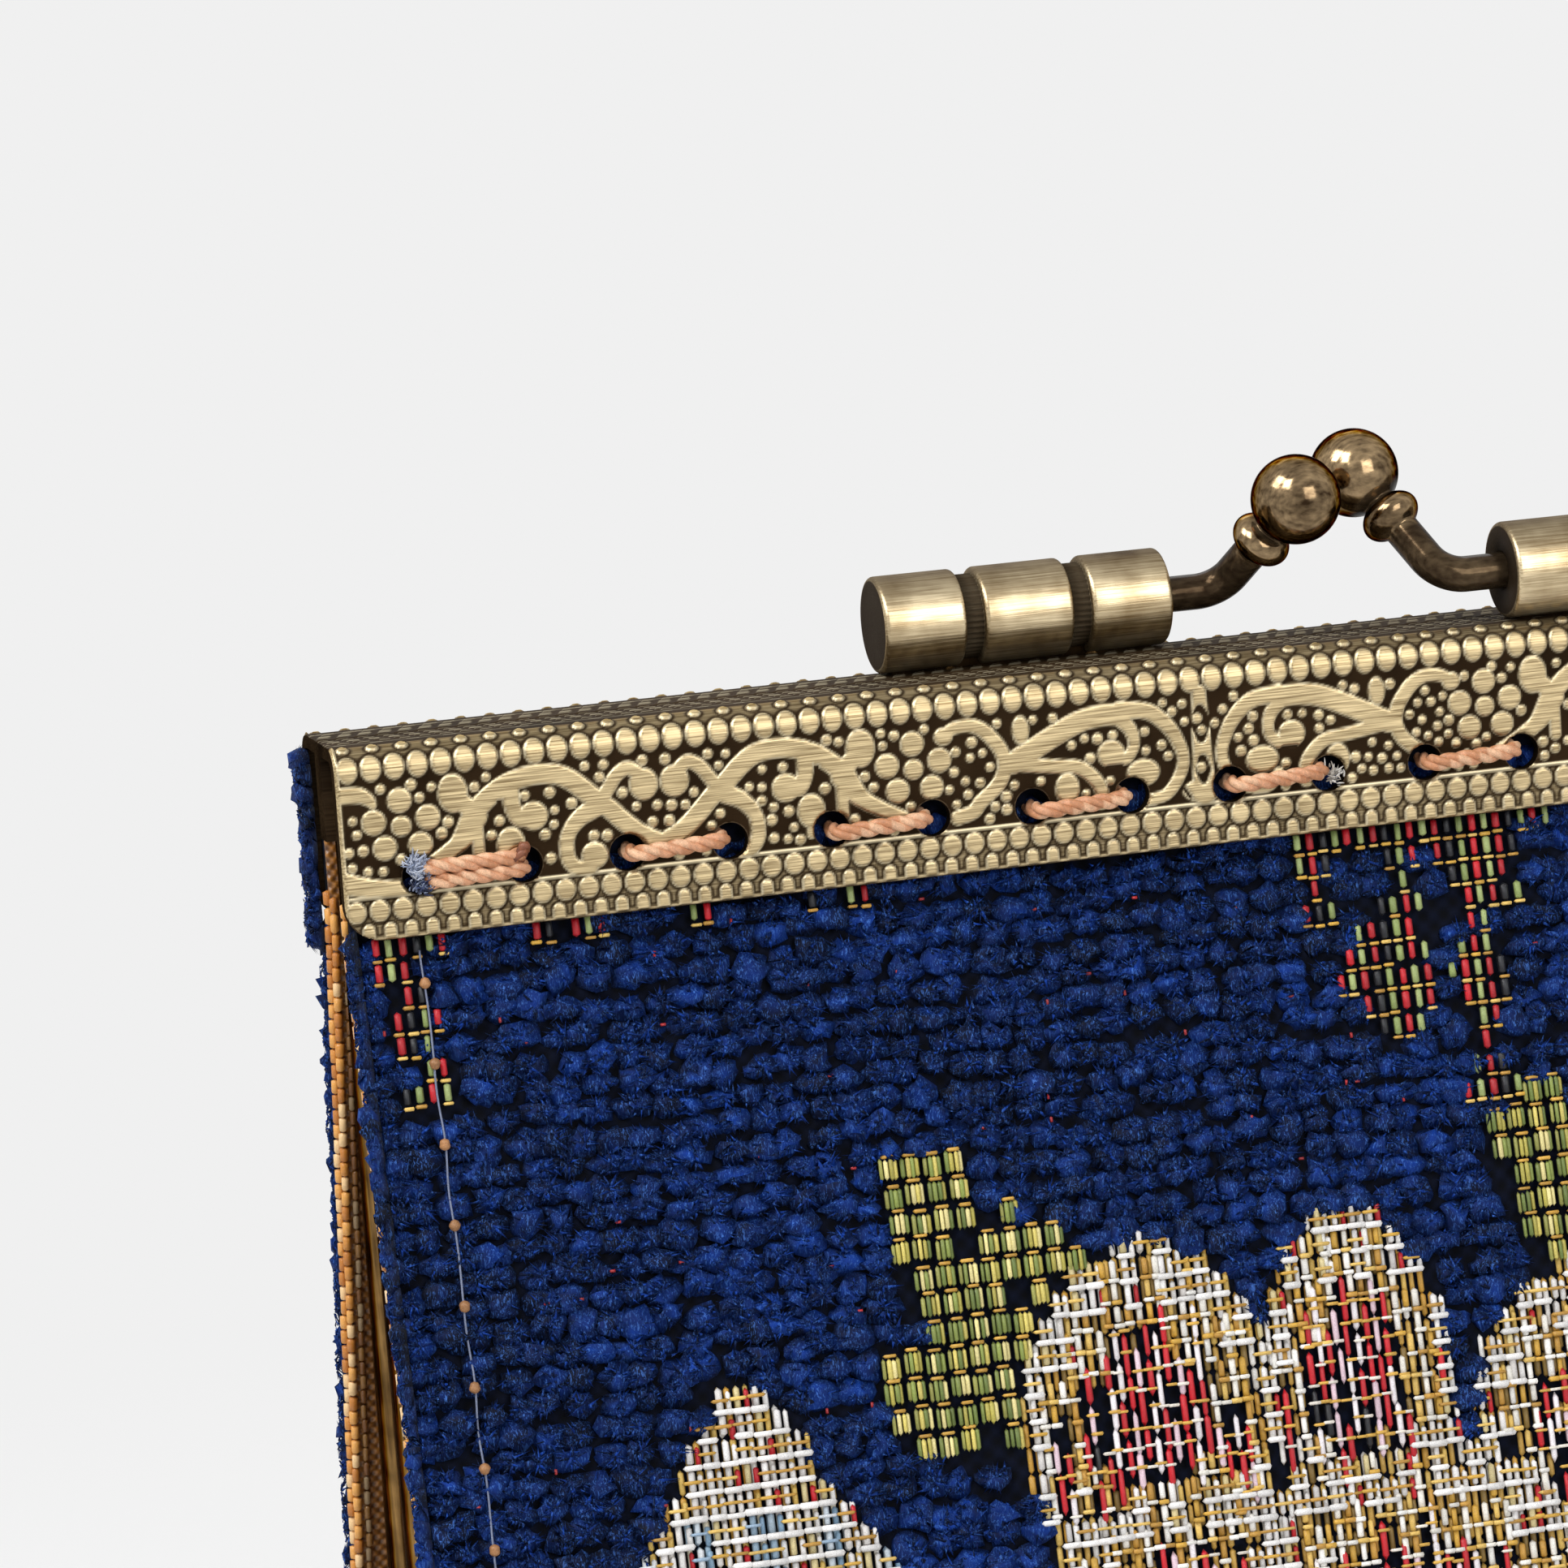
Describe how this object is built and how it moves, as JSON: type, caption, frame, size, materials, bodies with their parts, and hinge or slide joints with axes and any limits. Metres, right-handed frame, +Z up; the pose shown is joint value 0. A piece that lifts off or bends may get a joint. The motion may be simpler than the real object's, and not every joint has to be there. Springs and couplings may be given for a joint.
{
  "type": "coin purse",
  "caption": "Small cloth coin purse with two stiff panels sewn into an embossed brass bar frame that hinges at the foot and shuts with a ball clasp.",
  "frame": {"origin": "under the middle of the purse, on the surface that it stands on", "axes": "+Z up, +X to the right along the frame, front face towards -Y"},
  "size_m": [0.105, 0.0292, 0.0879],
  "materials": {
    "antique_brass": "embossed and brushed antique brass, dark in the recesses",
    "dark_brass": "glossy dark antique brass",
    "chenille": "navy chenille tapestry with woven flowers",
    "lining": "gold satin lining",
    "board": "grey pressed fibreboard",
    "waxed_thread": "twisted tan waxed thread",
    "seam_thread": "thin grey thread with tan knots"
  },
  "bodies": {
    "back_half": {"back_channel": "antique_brass", "back_leg_left": "dark_brass", "back_leg_right": "dark_brass", "hinge_rivet_left": "dark_brass", "hinge_rivet_right": "dark_brass", "barrel_left": "antique_brass", "barrel_rivets_left": "dark_brass", "back_cloth": "chenille", "back_board": "board", "back_lining": "lining", "base_cloth": "chenille", "base_lining": "lining", "gusset_left": "lining", "gusset_right": "lining", "back_frame_stitches": "waxed_thread", "back_side_seams": "seam_thread"},
    "front_half": {"front_channel": "antique_brass", "front_leg_left": "dark_brass", "front_leg_right": "dark_brass", "barrel_right": "antique_brass", "barrel_rivets_right": "dark_brass", "front_cloth": "chenille", "front_board": "board", "front_lining": "lining", "front_frame_stitches": "waxed_thread", "front_side_seams": "seam_thread"},
    "left_knob": {"knob_left": "dark_brass"},
    "right_knob": {"knob_right": "dark_brass"}
  },
  "joints": [
    {"name": "frame_hinge", "type": "hinge", "parent": "back_half", "child": "front_half", "pos_m": [0, 0, 0.008], "axis": [1, 0, 0], "range_deg": [0, 60], "deforming": ["base_cloth", "base_lining", "gusset_left", "gusset_right"]},
    {"name": "left_knob_flex", "type": "hinge", "parent": "back_half", "child": "left_knob", "pos_m": [-0.0098, 0.00195, 0.08054], "axis": [0, -1, 0], "range_deg": [0, 3], "stiffness_Nm_per_rad": 0.3},
    {"name": "right_knob_flex", "type": "hinge", "parent": "front_half", "child": "right_knob", "pos_m": [0.0088, -0.00195, 0.08054], "axis": [0, 1, 0], "range_deg": [0, 3], "stiffness_Nm_per_rad": 0.3}
  ]
}
